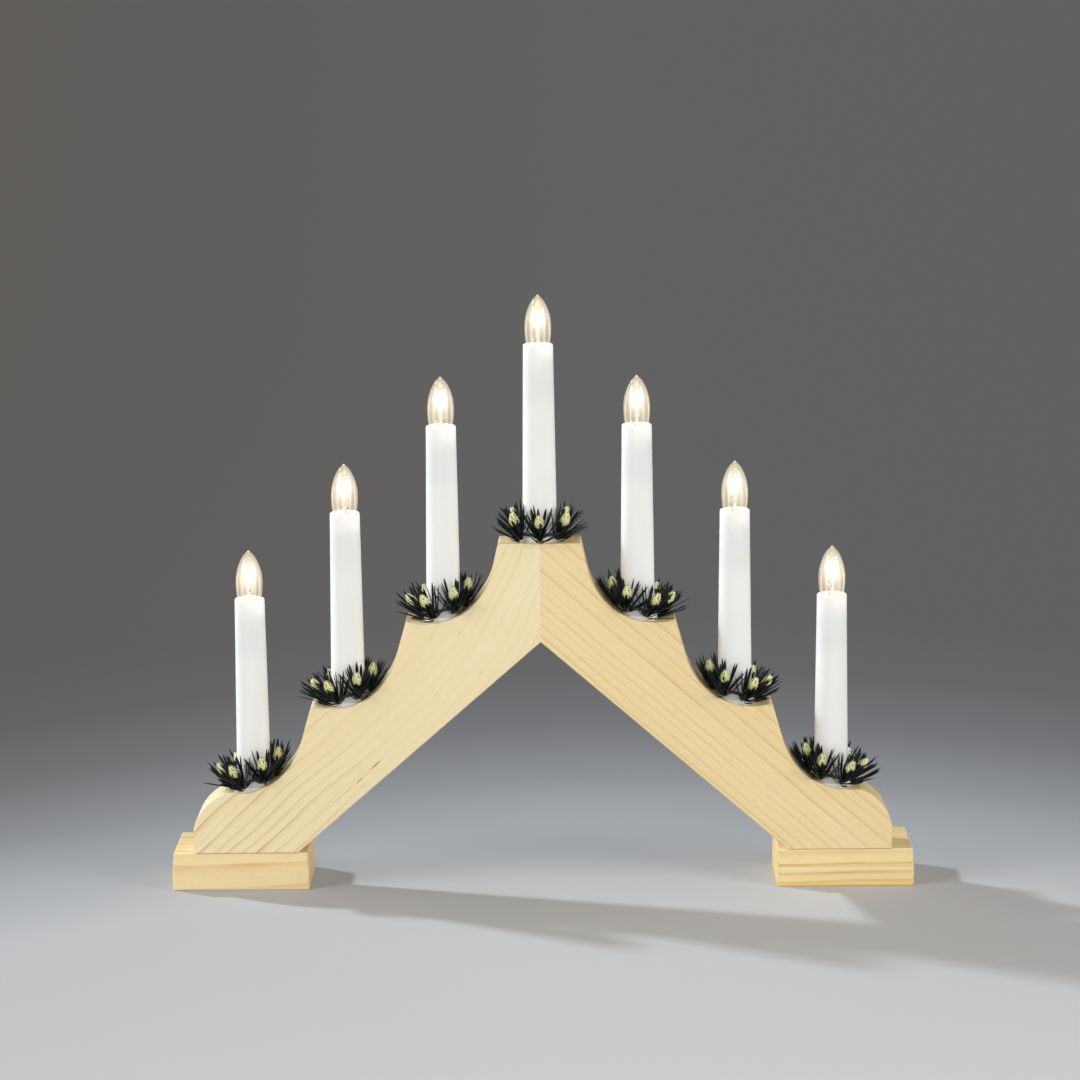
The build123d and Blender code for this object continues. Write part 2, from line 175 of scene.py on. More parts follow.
def add(tree, kind, inputs=None, **settings):
    """Adds a node, and links or sets its inputs."""
    node = tree.nodes.new("ShaderNode" + kind)
    for key, value in settings.items():
        setattr(node, key, value)
    for key, value in (inputs or {}).items():
        if isinstance(value, bpy.types.NodeSocket):
            tree.links.new(value, node.inputs[key])
        else:
            node.inputs[key].default_value = value
    return node


def calc(tree, operation, *values):
    """Output of a maths node."""
    return add(tree, "Math", dict(enumerate(values)), operation=operation).outputs[0]


def place_on(tree, kind="Object"):
    """A point's place, in the object's own frame or in that of another kind."""
    return add(tree, "TexCoord").outputs[kind]


def shade_on(tree):
    """The shade number that a form carries at a point."""
    return add(tree, "Attribute", attribute_name="shade").outputs["Fac"]


def mapped(tree, vector, scale=(1, 1, 1), turn=(0, 0, 0), shift=(0, 0, 0)):
    """A vector that is scaled, turned and then shifted."""
    inputs = {"Vector": vector, "Scale": scale, "Rotation": turn, "Location": shift}
    return add(tree, "Mapping", inputs).outputs[0]


def vector_value(tree, operation, *vectors):
    """A number that a vector node works out, such as a length."""
    return add(tree, "VectorMath", dict(enumerate(vectors)), operation=operation).outputs["Value"]


def noise(tree, vector, scale=1.0, detail=2.0, roughness=0.5):
    """A noise value from 0 to 1."""
    inputs = {"Vector": vector, "Scale": scale, "Detail": detail, "Roughness": roughness}
    return add(tree, "TexNoise", inputs).outputs[0]


def ramp(tree, factor, *stops):
    """A colour ramp's output. Each stop is a place and a colour or a grey."""
    node = add(tree, "ValToRGB", {"Fac": factor})
    band = node.color_ramp.elements
    while len(band) < len(stops):
        band.new(1.0)
    for element, (place, colour) in zip(band, stops):
        element.position = place
        element.color = colour if isinstance(colour, tuple) else (colour, colour, colour, 1.0)
    return node.outputs[0]


def mix(tree, factor, first, second, blend="MIX"):
    """Two colours, mixed."""
    node = tree.nodes.new("ShaderNodeMix")
    node.data_type, node.blend_type = "RGBA", blend
    for index, value in zip(MIX_INPUTS, (factor, first, second)):
        if isinstance(value, bpy.types.NodeSocket):
            tree.links.new(value, node.inputs[index])
        else:
            node.inputs[index].default_value = value
    return node.outputs[MIX_RESULT]


def tinted(tree, colour, factor, *stops):
    """A colour multiplied by a ramp's output."""
    return mix(tree, 1.0, colour, ramp(tree, factor, *stops), "MULTIPLY")


def bump(tree, shader, height, strength, distance):
    """Bump on a shader's normal, with its distance in millimetres."""
    inputs = {"Height": height, "Strength": strength, "Distance": distance * MM}
    tree.links.new(add(tree, "Bump", inputs).outputs[0], shader.inputs["Normal"])


# Pine: the slope of the grain in the arms, and noise scales along and across the grain
GRAIN_SLOPE = 41.1
WANDER_SCALE = (0.011, 0.03, 0.03)
PATCH_SCALE = (0.03, 0.12, 0.12)
BROAD_SCALE = (0.008, 0.035, 0.035)
FIBRE_SCALE = (0.05, 5.0, 5.0)
FLECK_SCALE = (0.16, 2.6, 2.6)
PORE_SCALE = 2600.0

# Pine: unevenness of the rings, strength of a ring's line, and the place along the grain as a share
UNEVEN_SCALE, UNEVEN_WIDTH = 0.41, 1.1
RING_DIFFERENCE, FAINTEST_RING = 0.7, 0.3
LENGTH_SCALE, LENGTH_MIDDLE = 0.004, 0.5

# Pine: how sharply end grain sets in, how ragged a mark is, and how far a dark line stands out
END_SHARPNESS = 3.0
MARK_RAGGED = 0.9
DARK_RELIEF = 0.7
LINE_RUN = 0.1


def year_rings(tree, turned, along, pith, ring_width, wander, bow):
    """Place in a year ring, from 0 to 1, and the ring's number."""
    radius = vector_value(tree, "LENGTH", mapped(tree, turned, (0, 1, 1), shift=(0, -pith[0], -pith[1])))
    slow = noise(tree, mapped(tree, turned, WANDER_SCALE), detail=1.5)
    radius = calc(tree, "MULTIPLY_ADD", calc(tree, "SUBTRACT", slow, 0.5), wander, radius)
    if bow:
        start, force = bow
        beyond = calc(tree, "MAXIMUM", calc(tree, "SUBTRACT", along, start), 0.0)
        radius = calc(tree, "MULTIPLY_ADD", calc(tree, "POWER", beyond, 2.0), force, radius)
    ring = calc(tree, "DIVIDE", radius, ring_width)
    uneven = add(tree, "TexNoise", {"W": ring, "Scale": UNEVEN_SCALE}, noise_dimensions="1D").outputs[0]
    ring = calc(tree, "MULTIPLY_ADD", uneven, UNEVEN_WIDTH, ring)
    return calc(tree, "FRACT", ring), calc(tree, "FLOOR", ring)


def late_wood(tree, turned, along, share, number, line, strength):
    """How dark a point is, by its place in its ring, by ring, in patches and along the grain."""
    begin, peak = line
    stops = (0.0, 0.0), (begin, 0.06), (peak - LINE_RUN, 0.4), (peak, 1.0), (0.985, 0.75), (1.0, 0.0)
    dark = ramp(tree, share, *stops)
    each = add(tree, "TexWhiteNoise", {"W": number}, noise_dimensions="1D").outputs[0]
    dark = calc(tree, "MULTIPLY", dark, calc(tree, "MULTIPLY_ADD", each, RING_DIFFERENCE, FAINTEST_RING))
    patchy = ramp(tree, noise(tree, mapped(tree, turned, PATCH_SCALE)), (0.3, 0.45), (0.7, 1.0))
    place = calc(tree, "MULTIPLY_ADD", along, LENGTH_SCALE, LENGTH_MIDDLE)
    return calc(tree, "MULTIPLY", calc(tree, "MULTIPLY", dark, patchy), ramp(tree, place, *strength))


def wood(name, slope, pith, ring_width, wander, early, late, bow=None, line=(0.62, 0.93),
         strength=((0.0, 1.0),), marks=()):
    """Pine, with year rings round a pith that runs along the grain. Lengths are in millimetres.

    bow bends the rings beyond a place along the grain. line says where in a ring the late wood
    begins and peaks. strength says how dark it is along the grain, and marks are added stains and bands, one
    of them a painted highlight.
    """
    made, shader = material(name, {"Specular IOR Level": 0.35})
    tree = made.node_tree
    coords = add(tree, "TexCoord")
    turned = mapped(tree, coords.outputs["Object"], (1 / MM, 1 / MM, 1 / MM), (0, radians(slope), 0))
    along = add(tree, "SeparateXYZ", {0: turned}).outputs[0]
    share, number = year_rings(tree, turned, along, pith, ring_width, wander, bow)
    dark = late_wood(tree, turned, along, share, number, line, strength)
    colour = mix(tree, dark, early, late)
    broad = noise(tree, mapped(tree, turned, BROAD_SCALE))
    colour = tinted(tree, colour, broad, (0.3, 1.0), (0.72, (0.965, 0.93, 0.86, 1.0)))
    fibre = noise(tree, mapped(tree, turned, FIBRE_SCALE), detail=3.0, roughness=0.6)
    colour = tinted(tree, colour, fibre, (0.25, (0.95, 0.935, 0.9, 1.0)), (0.6, 1.0))
    fleck = noise(tree, mapped(tree, turned, FLECK_SCALE), detail=0.0)
    colour = mix(tree, ramp(tree, fleck, (0.74, 0.0), (0.8, 0.22)), colour, tone(150, 112, 62))
    grain = (cos(radians(slope)), 0, sin(radians(slope)))
    facing = vector_value(tree, "DOT_PRODUCT", coords.outputs["Normal"], grain)
    end = calc(tree, "POWER", calc(tree, "ABSOLUTE", facing), END_SHARPNESS)
    pores = noise(tree, coords.outputs["Object"], PORE_SCALE, detail=1.0)
    end_colour = tinted(tree, colour, pores, (0.3, (0.93, 0.86, 0.76, 1.0)), (0.7, (1.0, 0.97, 0.92, 1.0)))
    colour = mix(tree, end, colour, end_colour)
    # Each mark's colour is a stain or band, or a painted highlight
    for middle, long, wide, force, stain_or_highlight in marks:
        shift = (-middle[0] / long, 0, -middle[1] / wide)
        away = vector_value(tree, "LENGTH", mapped(tree, turned, (1 / long, 0, 1 / wide), shift=shift))
        ragged = calc(tree, "MULTIPLY_ADD", fibre, MARK_RAGGED, away)
        colour = mix(tree, ramp(tree, ragged, (0.75, force), (1.45, 0.0)), colour, stain_or_highlight)
    tree.links.new(colour, shader.inputs["Base Color"])
    tree.links.new(ramp(tree, dark, (0.0, 0.56), (1.0, 0.42)), shader.inputs["Roughness"])
    relief = calc(tree, "MULTIPLY_ADD", dark, DARK_RELIEF, fibre)
    bump(tree, shader, relief, strength=0.35, distance=0.06)
    return made


# Marks in the wood: middle, length, width, force and colour of each; the colours are stains and bands, and
# one painted highlight
resin_streak = (
    ((-40.0, 107.3), 40.0, 0.5, 0.6, tone(206, 168, 96)),
    ((-21.0, 107.9), 9.5, 0.55, 1.0, tone(92, 60, 26)),
    ((-33.0, 107.5), 4.5, 0.4, 0.9, tone(108, 74, 34)),
)
left_foot_band = (((-160.0, 11.5), 30.0, 0.9, 0.35, tone(222, 188, 112)),)
right_foot_bands_and_highlight = (
    ((150.0, 0.9), 400.0, 1.9, 0.85, tone(234, 198, 96)),
    # A pale line along the right foot's front at 9.6 mm high: a painted highlight on the edge of its bevel,
    # with a darker golden line just above it
    ((150.0, 9.6), 400.0, 0.5, 0.7, tone(246, 232, 196)),
    ((150.0, 10.8), 400.0, 0.45, 0.5, tone(214, 172, 92)),
)
left_wood = wood(
    "pine_left", slope=GRAIN_SLOPE, pith=(-38.0, 52.0), ring_width=5.0, wander=12.0,
    early=tone(238, 223, 185), late=tone(200, 165, 98), bow=(15.0, -0.0026),
    strength=((0.05, 1.3), (0.25, 0.8), (0.45, 0.25), (0.75, 0.2), (0.95, 0.4)), marks=resin_streak,
)
right_wood = wood(
    "pine_right", slope=-GRAIN_SLOPE, pith=(24.0, 190.0), ring_width=3.8, wander=4.0,
    early=tone(235, 215, 168), late=tone(200, 166, 100), strength=((0.0, 0.75), (0.9, 0.75)),
)
left_foot_wood = wood(
    "pine_left_foot", slope=0.0, pith=(62.0, -34.0), ring_width=5.2, wander=5.0,
    early=tone(236, 216, 169), late=tone(214, 178, 110), line=(0.5, 0.86), marks=left_foot_band,
)
right_foot_wood = wood(
    "pine_right_foot", slope=0.0, pith=(62.0, -24.0), ring_width=2.3, wander=1.5,
    early=tone(238, 219, 170), late=tone(204, 158, 78), line=(0.5, 0.8), marks=right_foot_bands_and_highlight,
)

# Plastics and metals: noise scales, and how much rougher or smoother the marks are
FLOW_SCALE, FLOW_RELIEF, GRAIN_SCALE = (60, 60, 9), 2.0, 1500.0
FLOW_ROUGHER, FLOW_SMOOTHER = 0.05, 0.04
TURNING_SCALE, WEAR_SCALE, WEAR_ROUGHER = (300, 300, 9000), 260.0, 0.2


def plastic(name, colour, roughness, marks, depth, **values):
    """Moulded plastic with faint flow marks and fine grain."""
    made, shader = material(name, {"IOR": 1.49, **values})
    tree = made.node_tree
    place = place_on(tree)
    flow = noise(tree, mapped(tree, place, FLOW_SCALE), detail=3.0)
    grain = noise(tree, place, GRAIN_SCALE)
    tree.links.new(tinted(tree, colour, flow, (0.3, marks), (0.65, 1.0)), shader.inputs["Base Color"])
    rough = ramp(tree, flow, (0.3, roughness + FLOW_ROUGHER), (0.7, roughness - FLOW_SMOOTHER))
    tree.links.new(rough, shader.inputs["Roughness"])
    relief = calc(tree, "MULTIPLY_ADD", flow, FLOW_RELIEF, grain)
    bump(tree, shader, relief, strength=0.25, distance=depth)
    return made


def candle_plastic():
    """White plastic that lets light through, with a painted warm glow towards the candle's rim."""
    values = {
        "Subsurface Weight": 0.5,
        "Subsurface Radius": (1.0, 0.8, 0.6),
        "Subsurface Scale": 0.007,
        "Specular IOR Level": 0.2,
        "Emission Color": (1.0, 0.76, 0.6, 1.0),
    }
    white = tone(244, 241, 236)
    made = plastic("candle_plastic", white, roughness=0.4, marks=0.985, depth=0.02, **values)
    tree = made.node_tree
    # Painted glow: emission near the top of the tube stands in for the bulb's light shining through the
    # plastic
    rise = add(tree, "SeparateXYZ", {0: place_on(tree, "Generated")}).outputs[2]
    glow = ramp(tree, rise, (0.78, 0.0), (0.93, 0.03), (1.0, 0.09))
    tree.links.new(glow, tree.nodes["Principled BSDF"].inputs["Emission Strength"])
    return made


tube_plastic = candle_plastic()
holder_plastic = plastic("holder_plastic", tone(236, 233, 226), roughness=0.45, marks=0.96, depth=0.03)
cover_plastic = plastic("wire_cover", tone(222, 220, 214), roughness=0.5, marks=0.95, depth=0.03)
button_plastic = plastic("cap_insulator", tone(22, 20, 24), roughness=0.3, marks=0.8, depth=0.02)


def metal(name, colour, roughness, wear):
    """Metal with fine turning marks and darker worn patches."""
    made, shader = material(name, {"Metallic": 1.0})
    tree = made.node_tree
    place = place_on(tree)
    marks = noise(tree, mapped(tree, place, TURNING_SCALE))
    patches = noise(tree, place, WEAR_SCALE, detail=3.0)
    worn = mix(tree, ramp(tree, patches, (0.4, 0.0), (0.75, 0.8)), colour, wear)
    tree.links.new(worn, shader.inputs["Base Color"])
    rough = ramp(tree, patches, (0.3, roughness), (0.8, roughness + WEAR_ROUGHER))
    tree.links.new(rough, shader.inputs["Roughness"])
    bump(tree, shader, marks, strength=0.2, distance=0.02)
    return made


screw_steel = metal("screw_steel", tone(196, 190, 176), roughness=0.32, wear=tone(150, 142, 124))
brass = metal("shell_brass", tone(214, 180, 112), roughness=0.28, wear=tone(160, 124, 66))
nickel = metal("support_wire", tone(190, 184, 172), roughness=0.35, wear=tone(140, 128, 110))
solder = metal("cap_solder", tone(176, 176, 176), roughness=0.4, wear=tone(120, 118, 116))

# Glass and painted light: the height of the middle of the gas's painted glow, and the half width, half
# height and power of its lobes
GLOW_Z = 11.8
GLOW_LOBES = ((2.1, 3.3, 190.0), (4.8, 8.0, 70.0))
# Strength of the painted glow on the glass
GLASS_STRENGTH = 0.9


def glass_material():
    """Clear glass with a painted glow, as the shade says, standing in for the filament's light in the glass.
    """
    values = {"Roughness": 0.02, "IOR": 1.46, "Transmission Weight": 1.0, "Specular IOR Level": 0.12}
    made, shader = material("bulb_glass", values)
    tree = made.node_tree
    glow = shade_on(tree)
    ripple = noise(tree, place_on(tree), scale=420.0, detail=1.0)
    stops = (0.0, tone(236, 218, 184)), (0.5, tone(250, 236, 212)), (1.0, tone(255, 246, 232))
    # Painted glow: emission on the glass, by the shade
    tree.links.new(ramp(tree, glow, *stops), shader.inputs["Emission Color"])
    tree.links.new(calc(tree, "MULTIPLY", glow, GLASS_STRENGTH), shader.inputs["Emission Strength"])
    clear = ramp(tree, ripple, (0.3, tone(250, 246, 238)), (0.7, tone(255, 253, 248)))
    tree.links.new(clear, shader.inputs["Base Color"])
    bump(tree, shader, ripple, strength=0.15, distance=0.04)
    return made


def gas_material():
    """Clear gas with a painted glow round the filament, and no surface of its own."""
    values = {
        "Base Color": (1, 1, 1, 1),
        "Roughness": 0.0,
        "IOR": 1.0,
        "Transmission Weight": 1.0,
        "Specular IOR Level": 0.0,
    }
    made, _ = material("painted_gas_glow", values)
    tree = made.node_tree
    place = place_on(tree)
    # Painted glow round the filament, in two lobes
    strength = 0.0
    for wide, tall, power in GLOW_LOBES:
        scale = (1 / (wide * MM), 1 / (wide * MM), 1 / (tall * MM))
        ratio = mapped(tree, place, scale, shift=(0, 0, -GLOW_Z / tall))
        away = vector_value(tree, "DOT_PRODUCT", ratio, ratio)
        share = calc(tree, "EXPONENT", calc(tree, "MULTIPLY", away, -1.0))
        strength = calc(tree, "MULTIPLY_ADD", share, power, strength)
    light = add(tree, "Emission", {"Color": (1.0, 0.93, 0.84, 1.0), "Strength": strength})
    tree.links.new(light.outputs[0], tree.nodes["Material Output"].inputs["Volume"])
    return made


def filament_material():
    """White-hot filament, a little cooler towards its ends."""
    values = {"Base Color": (0.2, 0.15, 0.1, 1.0), "Roughness": 0.6, "Emission Strength": 8.0}
    made, shader = material("filament", values)
    tree = made.node_tree
    heat = ramp(tree, shade_on(tree), (0.0, (1.0, 0.42, 0.12, 1.0)), (0.5, (1.0, 0.74, 0.4, 1.0)))
    tree.links.new(heat, shader.inputs["Emission Color"])
    return made


bulb_glass = glass_material()
painted_gas_glow = gas_material()
filament_light = filament_material()

# Greenery
NEEDLE_GRAIN = 900


def needle_material():
    """Dark green-black plastic blades. Each blade's shade gives it a tint of its own."""
    made, shader = material("needle_plastic", {"IOR": 1.5, "Specular IOR Level": 0.25})
    tree = made.node_tree
    place = place_on(tree)
    patches = noise(tree, place, scale=330.0)
    stops = (0.35, tone(6, 10, 11)), (0.55, tone(11, 19, 17)), (0.75, tone(28, 42, 22))
    green = ramp(tree, patches, *stops)
    colour = mix(tree, ramp(tree, shade_on(tree), (0.0, 0.0), (1.0, 0.4)), green, tone(30, 42, 42))
    tree.links.new(colour, shader.inputs["Base Color"])
    tree.links.new(ramp(tree, patches, (0.3, 0.34), (0.7, 0.55)), shader.inputs["Roughness"])
    grain = noise(tree, mapped(tree, place, (NEEDLE_GRAIN, NEEDLE_GRAIN, NEEDLE_GRAIN)))
    bump(tree, shader, grain, strength=0.3, distance=0.05)
    return made


def bud_material():
    """Yellow-green scales with pale tips, with painted shade at the feet of the scales and painted light on
    the upper levels, as the shade says.
    """
    made, shader = material("bud_plastic", {"IOR": 1.48, "Specular IOR Level": 0.5})
    tree = made.node_tree
    place = place_on(tree)
    tip = shade_on(tree)
    patches = noise(tree, place, scale=420.0)
    stops = (0.3, tone(178, 186, 72)), (0.55, tone(214, 218, 110)), (0.75, tone(232, 222, 116))
    green = ramp(tree, patches, *stops)
    # Painted shade: darker green at the feet of the scales, where they overlap
    green = mix(tree, ramp(tree, tip, (0.0, 1.0), (0.3, 0.0)), green, tone(84, 98, 32))
    colour = mix(tree, ramp(tree, tip, (0.35, 0.0), (0.8, 0.9), (1.0, 1.0)), green, tone(252, 249, 214))
    tree.links.new(colour, shader.inputs["Base Color"])
    tree.links.new(ramp(tree, patches, (0.3, 0.32), (0.7, 0.5)), shader.inputs["Roughness"])
    bump(tree, shader, noise(tree, place, scale=1800.0), strength=0.3, distance=0.06)
    return made


def wrapped_wire_material():
    """Dark green tape wound on wire."""
    made, shader = material("wreath_wire", {"Specular IOR Level": 0.4})
    tree = made.node_tree
    patches = noise(tree, place_on(tree), scale=500.0, detail=3.0)
    green = ramp(tree, patches, (0.3, tone(12, 20, 18)), (0.7, tone(30, 42, 30)))
    tree.links.new(green, shader.inputs["Base Color"])
    tree.links.new(ramp(tree, patches, (0.3, 0.45), (0.7, 0.65)), shader.inputs["Roughness"])
    bump(tree, shader, patches, strength=0.4, distance=0.08)
    return made


needle_plastic = needle_material()
bud_plastic = bud_material()
wreath_wire = wrapped_wire_material()

# The CAD nodes that stay as they are
for name, finish in (
    ("left_arm", left_wood),
    ("right_arm", right_wood),
    ("left_foot", left_foot_wood),
    ("right_foot", right_foot_wood),
    ("foot_screws", screw_steel),
    ("lamp_holders", holder_plastic),
    ("socket_shells", brass),
    ("wiring", cover_plastic),
    *[(f"candle_tube_{number}", tube_plastic) for number in CANDLES],
):
    nodes[name].data.materials.clear()
    nodes[name].data.materials.append(finish)

# Bulbs: radius and height of the envelope and of the stem inside it, with the candle's rim at height 0
GLASS_PROFILE = [
    (4.3, -13.2), (4.3, -11.6), (4.32, -10.2), (4.75, -7.6), (5.35, -4.8), (5.92, -2.2), (6.3, 0.0),
    (6.62, 2.2), (6.84, 4.6), (6.95, 7.0), (6.95, 9.0), (6.84, 11.0), (6.52, 13.2), (5.98, 15.4),
    (5.3, 17.6), (4.5, 19.6), (3.62, 21.3), (2.7, 22.7), (1.8, 23.7), (1.0, 24.4), (0.5, 25.0), (0.05, 25.4),
]
STEM_PROFILE = [
    (3.6, -13.2), (2.6, -11.0), (1.9, -6.0), (1.5, -1.0), (1.1, 2.0),
    (1.0, 2.8), (1.5, 3.6), (1.7, 4.4), (1.3, 5.2), (0.05, 5.5),
]
# The stem's painted glow
STEM_PAINTED_GLOW = 0.04
GLASS_WALL, GAS_GAP, THINNEST = 0.5, 0.7, 0.04
GLASS_SIDES, INNER_SIDES, STEM_SIDES, GAS_SIDES = 96, 64, 24, 48
PROFILE_STEPS = 2
INNER_TOP, INNER_CUT, INNER_FOLD = 24.0, 24.2, 0.2
GAS_FOOT, GAS_TOP, GAS_DOME = -1.0, 23.8, 0.2

# Flutes: their number, depth and sharpness, and the heights where they fade in and out
FLUTES, FLUTE_DEPTH, FLUTE_SHARPNESS = 12, 0.03, 0.8
FLUTE_FOOT, FLUTE_FOOT_RUN = -1.5, 2.5
FLUTE_TOP, FLUTE_TOP_RUN = 15.5, 7.0

# Painted light on the glass: streaks of painted highlight and shade along the flutes, and a painted glow by
# height
STREAK_TOP, STREAK_RUN = 17.0, 6.0
STREAK_LIGHT, STREAK_LIGHT_SHARPNESS = 0.5, 6
STREAK_DARK, STREAK_DARK_SHARPNESS = 0.4, 4
COIL_Z, COIL_GLOW, COIL_REACH = 13.0, 0.1, 8.0
GLASS_GLOW, HIDDEN_GLOW, HIDDEN_BELOW = 0.27, 0.05, -1.0

# Screw cap: its foot, top and rim, and its rolled thread
CAP_FOOT, CAP_TOP, CAP_RIM, CAP_ROWS = -19.7, -10.2, 1.0, 42
CAP_RADIUS, CAP_INNER_RADIUS, INNER_ROW_STEP = 4.75, 4.36, 4
CAP_SIDES, INSULATOR_SIDES, CONTACT_SIDES = 56, 32, 24
THREAD_PITCH, THREAD_DEPTH = 1.81, 0.42
THREAD_FOOT_RUN, THREAD_TOP_GAP, THREAD_TOP_RUN = 0.8, 0.7, 0.6
CAP_RIM_PROFILE = ((3.3, 0.0), (4.1, 0.35), (4.55, 0.7))
INSULATOR_PROFILE = ((3.4, 0.05), (2.4, -0.25), (1.6, -0.5), (0.05, -0.55))
CONTACT_PROFILE = ((1.5, -0.4), (1.45, -0.75), (1.0, -0.97), (0.05, -1.0))

# Filament: its two support wires, and the coil that bows between them
SUPPORT_PATH = ((0.5, 3.6), (0.55, 5.5), (1.2, 9.0), (2.0, 11.8), (2.15, 12.3))
SUPPORT_RADII = (0.2, 0.2, 0.18, 0.17, 0.15)
COIL_TURNS, COIL_STEPS = 15, 10
COIL_RADIUS, COIL_WIRE = 0.3, 0.1
SUPPORT_SIDES, COIL_SIDES = 8, 5
BOW_HALF_WIDTH, BOW_FOOT_Z, BOW_RISE = 2.1, 12.1, 1.5
COOL_ENDS = 8


def fluted(angle, radius, height):
    """Radius of the bulb with shallow upright flutes in its lower half."""
    fade = clamp((height - FLUTE_FOOT) / FLUTE_FOOT_RUN) * clamp((FLUTE_TOP - height) / FLUTE_TOP_RUN)
    return radius * (1 - FLUTE_DEPTH * fade * (1 - abs(sin(angle * FLUTES / 2)) ** FLUTE_SHARPNESS))


def streak(angle, height):
    """Painted highlight and shade along the flutes: lighter along each groove and darker between two
    grooves.
    """
    fade = clamp((STREAK_TOP - height) / STREAK_RUN)
    half = angle * FLUTES / 2
    light = STREAK_LIGHT * abs(cos(half)) ** STREAK_LIGHT_SHARPNESS
    dark = STREAK_DARK * abs(sin(half)) ** STREAK_DARK_SHARPNESS
    return 1.0 + fade * (light - dark)


def smooth_profile(points, steps):
    """More points on a curve through the given ones."""
    made = []
    for i in range(len(points) - 1):
        a, b = points[max(i - 1, 0)], points[i]
        c, d = points[i + 1], points[min(i + 2, len(points) - 1)]
        for k in range(steps):
            t = k / steps
            weights = (-t + 2 * t**2 - t**3, 2 - 5 * t**2 + 3 * t**3, t + 4 * t**2 - 3 * t**3, t**3 - t**2)
            made.append(tuple(sum(w * p[j] for w, p in zip(weights, (a, b, c, d))) / 2 for j in (0, 1)))
    return made + [points[-1]]


def glow_at(height):
    """Strength of the painted glow on the glass at a height, standing in for the filament's light."""
    if height <= HIDDEN_BELOW:
        return HIDDEN_GLOW
    return GLASS_GLOW + COIL_GLOW * exp(-(((height - COIL_Z) / COIL_REACH) ** 2))


def make_glass():
    """Bulb envelope with its inner side and its stem."""
    form = Form()
    outer = smooth_profile(GLASS_PROFILE, PROFILE_STEPS)
    turns = [2 * pi * j / GLASS_SIDES for j in range(GLASS_SIDES)]
    # Painted glow on the glass, with painted streaks of highlight and shade along the flutes
    shades = [[glow_at(z) * streak(t, z) for t in turns] for _, z in outer]
    form.lathe(outer, GLASS_SIDES, fluted, shades)
    inner = []
    for radius, height in outer:
        if height < INNER_CUT:
            folded = height if height < INNER_TOP else INNER_TOP - (height - INNER_TOP) * INNER_FOLD
            inner.append((max(radius - GLASS_WALL, THINNEST), folded))
    form.lathe(inner[::-1], INNER_SIDES)
    stem = smooth_profile(STEM_PROFILE, PROFILE_STEPS)
    form.lathe(stem, STEM_SIDES, shades=[STEM_PAINTED_GLOW] * len(stem))
    return form


def make_gas():
    """The space inside the envelope, which carries a painted glow round the filament."""
    form = Form()
    inner = [(max(r - GAS_GAP, THINNEST), z) for r, z in GLASS_PROFILE if GAS_FOOT < z < GAS_TOP]
    foot, top = (THINNEST, inner[0][1]), (THINNEST, inner[-1][1] + GAS_DOME)
    form.lathe([foot] + inner + [top], GAS_SIDES)
    return form


def rolled(angle, radius, height):
    """Radius of the cap with its rolled thread, which fades out at both ends."""
    from_foot = (height - CAP_FOOT - CAP_RIM) / THREAD_FOOT_RUN
    from_top = (CAP_TOP - THREAD_TOP_GAP - height) / THREAD_TOP_RUN
    fade = clamp(min(from_foot, from_top))
    depth = 0.5 - 0.5 * cos(2 * pi * (height / THREAD_PITCH - angle / (2 * pi)))
    return radius - THREAD_DEPTH * fade * depth


def make_cap():
    """Screw cap with a rolled thread, in three forms: shell, insulator and solder."""
    shell, insulator, button = Form(), Form(), Form()
    rise = CAP_TOP - CAP_FOOT - CAP_RIM
    rows = [CAP_FOOT + CAP_RIM + i * rise / CAP_ROWS for i in range(CAP_ROWS + 1)]
    outside = [(r, CAP_FOOT + z) for r, z in CAP_RIM_PROFILE] + [(CAP_RADIUS, z) for z in rows]
    inside = [(CAP_INNER_RADIUS, z) for z in rows[::-INNER_ROW_STEP]]
    shell.lathe(outside, CAP_SIDES, rolled)
    shell.lathe([outside[-1]] + inside, CAP_SIDES)
    insulator.lathe([(r, CAP_FOOT + z) for r, z in INSULATOR_PROFILE], INSULATOR_SIDES)
    button.lathe([(r, CAP_FOOT + z) for r, z in CONTACT_PROFILE], CONTACT_SIDES)
    return shell, insulator, button


def make_filament():
    """Two support wires, and the coil that bows between them."""
    supports, coil = Form(), Form()
    for side in (-1, 1):
        supports.tube([Vector((side * x, 0, z)) for x, z in SUPPORT_PATH], SUPPORT_RADII, SUPPORT_SIDES)
    steps = COIL_TURNS * COIL_STEPS
    path, shades = [], []
    for i in range(steps + 1):
        t = i / steps
        angle = 2 * pi * COIL_TURNS * t
        bow = pi * (1 - t)
        middle = Vector((BOW_HALF_WIDTH * cos(bow), 0, BOW_FOOT_Z + BOW_RISE * sin(bow)))
        out = Vector((cos(bow), 0, sin(bow)))
        path.append(middle + (out * cos(angle) + Vector((0, 1, 0)) * sin(angle)) * COIL_RADIUS)
        shades.append(min(1.0, COOL_ENDS * t, COOL_ENDS * (1 - t)))
    coil.tube(path, [COIL_WIRE] * len(path), COIL_SIDES, shades)
    return supports, coil


shell_form, insulator_form, button_form = make_cap()
support_form, coil_form = make_filament()

# A bulb's pieces: form, name, material, slot and CAD node
BULB_PIECES = (
    (make_glass(), "glass", bulb_glass, "bulb_glass", "bulb_glass"),
    (make_gas(), "painted_gas_glow", painted_gas_glow, "bulb_glass", "bulb_glass"),
    (shell_form, "cap_shell", brass, "cap_brass", "bulb_cap"),
    (insulator_form, "cap_insulator", button_plastic, "cap_brass", "bulb_cap"),
    (button_form, "cap_contact", solder, "cap_brass", "bulb_cap"),
    (support_form, "filament_supports", nickel, "filament", "bulb_filament"),
    (coil_form, "filament_coil", filament_light, "filament", "bulb_filament"),
)

